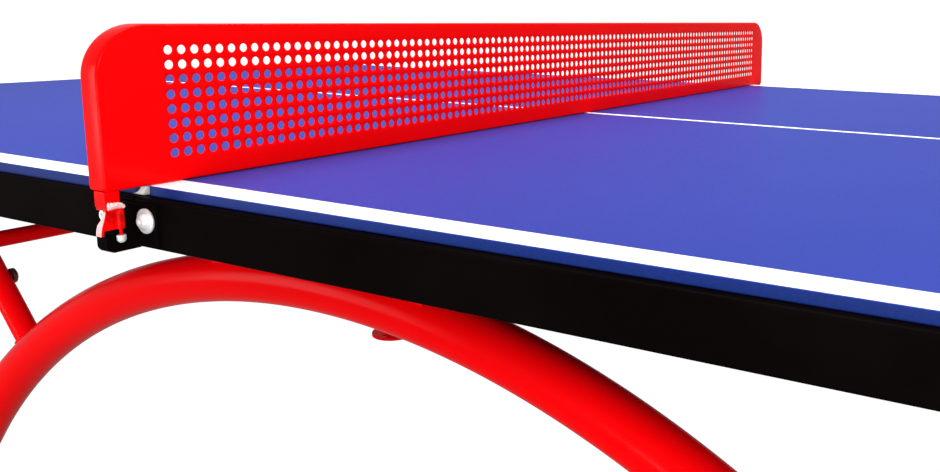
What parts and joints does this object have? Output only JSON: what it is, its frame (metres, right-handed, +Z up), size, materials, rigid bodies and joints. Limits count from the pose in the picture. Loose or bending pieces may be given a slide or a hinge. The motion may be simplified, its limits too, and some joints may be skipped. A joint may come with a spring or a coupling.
{
  "type": "table tennis table",
  "caption": "Outdoor table tennis table with a moulded blue top on a black box frame, red arched tube legs, and a lift-off perforated steel net on clamps.",
  "frame": {"origin": "centre of the table's length and width, on the floor under the foot plates", "axes": "+X along the table's length, +Y across its width away from the near side, +Z up"},
  "size_m": [2.76, 1.6216, 0.9125],
  "materials": {
    "tabletop_blue": "fine-grained satin moulded composite, deep blue",
    "line_white": "satin white line paint",
    "frame_black": "satin black powder coat",
    "frame_red": "glossy red powder coat",
    "net_red": "glossy red powder coat",
    "seal_white": "cured off-white sealant",
    "cap_plastic": "black moulded plastic",
    "lock_bolt_dark": "dark oxide steel",
    "zinc_steel": "bright zinc plate"
  },
  "bodies": {
    "table": {"left_tabletop": "tabletop_blue", "right_tabletop": "tabletop_blue", "left_court_lines": "line_white", "right_court_lines": "line_white", "seam_seals": "seal_white", "left_near_side_rail": "frame_black", "left_far_side_rail": "frame_black", "right_near_side_rail": "frame_black", "right_far_side_rail": "frame_black", "left_end_rail": "frame_black", "right_end_rail": "frame_black", "left_centre_rail": "frame_black", "right_centre_rail": "frame_black", "left_outer_cross_rail": "frame_black", "left_inner_cross_rail": "frame_black", "right_outer_cross_rail": "frame_black", "right_inner_cross_rail": "frame_black", "near_net_bracket": "frame_black", "far_net_bracket": "frame_black", "tube_end_caps": "cap_plastic", "near_arch": "frame_red", "far_arch": "frame_red", "near_left_foot_plate": "frame_red", "near_right_foot_plate": "frame_red", "far_left_foot_plate": "frame_red", "far_right_foot_plate": "frame_red", "near_left_strut": "frame_red", "near_right_strut": "frame_red", "far_left_strut": "frame_red", "far_right_strut": "frame_red", "left_strut_tie": "frame_red", "right_strut_tie": "frame_red", "strut_top_plates": "frame_red", "left_crown_beam": "frame_red", "right_crown_beam": "frame_red", "crown_saddles": "frame_red", "strut_lock_bolts": "lock_bolt_dark", "frame_bolts": "zinc_steel", "frame_nuts": "zinc_steel", "seam_bolts": "zinc_steel", "seam_nuts": "zinc_steel", "bracket_bolts": "zinc_steel", "bracket_washers": "zinc_steel", "bracket_nuts": "zinc_steel"},
    "net": {"net_panel": "net_red", "near_net_post": "net_red", "far_net_post": "net_red", "near_net_clamp": "net_red", "far_net_clamp": "net_red"},
    "near_screw": {"near_clamp_screw": "net_red", "near_screw_cap": "zinc_steel"},
    "far_screw": {"far_clamp_screw": "net_red", "far_screw_cap": "zinc_steel"}
  },
  "joints": [
    {"name": "net_lift", "type": "slide", "parent": "table", "child": "net", "axis": [0, 0, 1], "range_m": [0, 0.12]},
    {"name": "near_screw_turn", "type": "hinge", "parent": "net", "child": "near_screw", "pos_m": [0.0118, -0.793, 0.722], "axis": [0, 0, 1], "continuous": true},
    {"name": "far_screw_turn", "type": "hinge", "parent": "net", "child": "far_screw", "pos_m": [0.0118, 0.793, 0.722], "axis": [0, 0, 1], "continuous": true}
  ]
}
